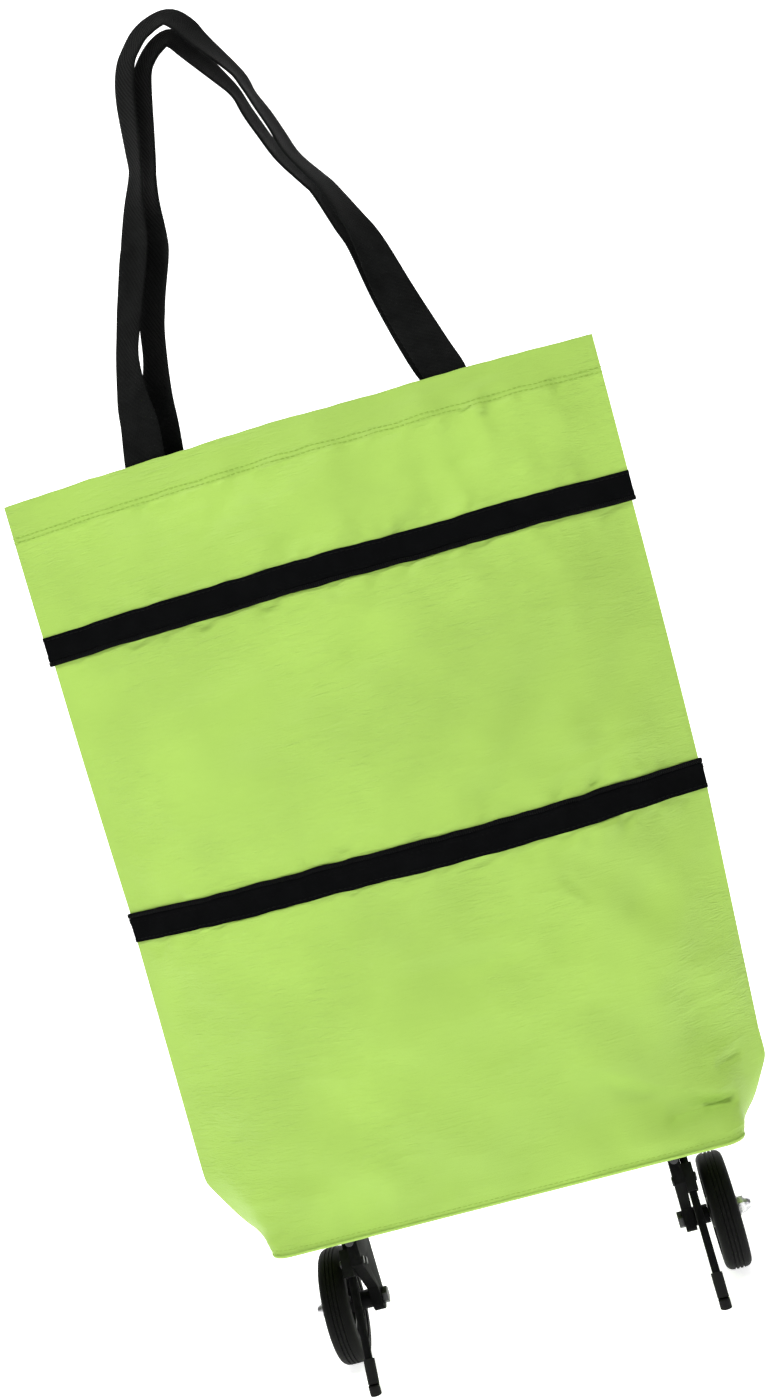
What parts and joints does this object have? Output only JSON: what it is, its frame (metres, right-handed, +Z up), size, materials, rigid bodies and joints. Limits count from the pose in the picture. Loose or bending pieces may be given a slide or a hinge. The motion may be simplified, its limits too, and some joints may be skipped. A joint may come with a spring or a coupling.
{
  "type": "shopping trolley bag",
  "caption": "Foldable wheeled shopping bag: soft nylon tote with expansion zip bands, webbing handles, and small wheels with stand legs on folding arms.",
  "frame": {"origin": "on the floor under the middle of the whole object's box", "axes": "+X to the bag's right seen from the front, -Y the front panel, +Z up"},
  "size_m": [0.3684, 0.107, 0.823],
  "materials": {
    "nylon_green": "thin woven nylon, slight sheen",
    "webbing": "woven polyester webbing",
    "zip_tape": "woven tape",
    "zip_teeth": "coil zip teeth",
    "zip_metal": "small cast slider",
    "board": "stiff base board",
    "black_metal": "black satin paint",
    "black_plastic": "moulded, satin",
    "wheel_plastic": "moulded, satin",
    "tyre": "soft black tread",
    "foot_rubber": "matte rubber",
    "steel": "zinc plated",
    "nut_chrome": "bright domed nut"
  },
  "bodies": {
    "lower_bag": {"lower_section": "nylon_green", "middle_section": "nylon_green", "base_panel": "nylon_green", "base_board": "board", "zip_tape_lower": "zip_tape", "zip_teeth_lower": "zip_teeth", "flange_left": "black_metal", "flange_rivets_left": "steel", "flange_washers_left": "steel", "hinge_pin_left": "steel", "flange_right": "black_metal", "flange_rivets_right": "steel", "flange_washers_right": "steel", "hinge_pin_right": "steel"},
    "upper_bag": {"upper_section": "nylon_green", "top_hem": "nylon_green", "zip_tape_upper": "zip_tape", "zip_teeth_upper": "zip_teeth", "zip_stops": "zip_metal", "strap_ends_front": "webbing", "strap_ends_rear": "webbing"},
    "slider": {"zip_slider": "zip_metal"},
    "pull_tab": {"zip_pull": "zip_metal"},
    "front_strap": {"strap_front": "webbing"},
    "rear_strap": {"strap_rear": "webbing"},
    "arm_left": {"bracket_left": "black_metal", "leg_left": "black_metal", "leg_clamp_left": "black_plastic", "clamp_rivets_left": "steel", "foot_left": "foot_rubber", "axle_bolt_left": "steel", "spacer_left": "black_plastic", "axle_washer_left": "steel", "acorn_nut_left": "nut_chrome"},
    "wheel_left": {"wheel_core_left": "wheel_plastic", "tyre_left": "tyre"},
    "arm_right": {"bracket_right": "black_metal", "leg_right": "black_metal", "leg_clamp_right": "black_plastic", "clamp_rivets_right": "steel", "foot_right": "foot_rubber", "axle_bolt_right": "steel", "spacer_right": "black_plastic", "axle_washer_right": "steel", "acorn_nut_right": "nut_chrome"},
    "wheel_right": {"wheel_core_right": "wheel_plastic", "tyre_right": "tyre"}
  },
  "joints": [
    {"name": "bag_collapse", "type": "slide", "parent": "lower_bag", "child": "upper_bag", "axis": [0, 0, -1], "range_m": [0, 0.156], "deforming": ["middle_section"]},
    {"name": "slider_run", "type": "hinge", "parent": "upper_bag", "child": "slider", "pos_m": [0, -0.63702, 0.463], "axis": [0, 0, 1], "range_deg": [0, 20.05]},
    {"name": "pull_flip", "type": "hinge", "parent": "slider", "child": "pull_tab", "pos_m": [0.11502, 0.01354, 0.4643], "axis": [0.9847, -0.1741, 0], "range_deg": [0, 100]},
    {"name": "front_strap_drop", "type": "hinge", "parent": "upper_bag", "child": "front_strap", "pos_m": [0, -0.0201, 0.5648], "axis": [1, 0, 0], "range_deg": [0, 150]},
    {"name": "rear_strap_drop", "type": "hinge", "parent": "upper_bag", "child": "rear_strap", "pos_m": [0, 0.0051, 0.5648], "axis": [-1, 0, 0], "range_deg": [0, 150]},
    {"name": "arm_fold_left", "type": "hinge", "parent": "lower_bag", "child": "arm_left", "pos_m": [-0.09875, 0, 0.0855], "axis": [0, -1, 0], "range_deg": [0, 90]},
    {"name": "wheel_spin_left", "type": "hinge", "parent": "arm_left", "child": "wheel_left", "pos_m": [-0.1202, 0.0185, 0.035], "axis": [1, 0, 0], "continuous": true},
    {"name": "arm_fold_right", "type": "hinge", "parent": "lower_bag", "child": "arm_right", "pos_m": [0.09875, 0, 0.0855], "axis": [0, 1, 0], "range_deg": [0, 90]},
    {"name": "wheel_spin_right", "type": "hinge", "parent": "arm_right", "child": "wheel_right", "pos_m": [0.1202, 0.0185, 0.035], "axis": [1, 0, 0], "continuous": true}
  ]
}
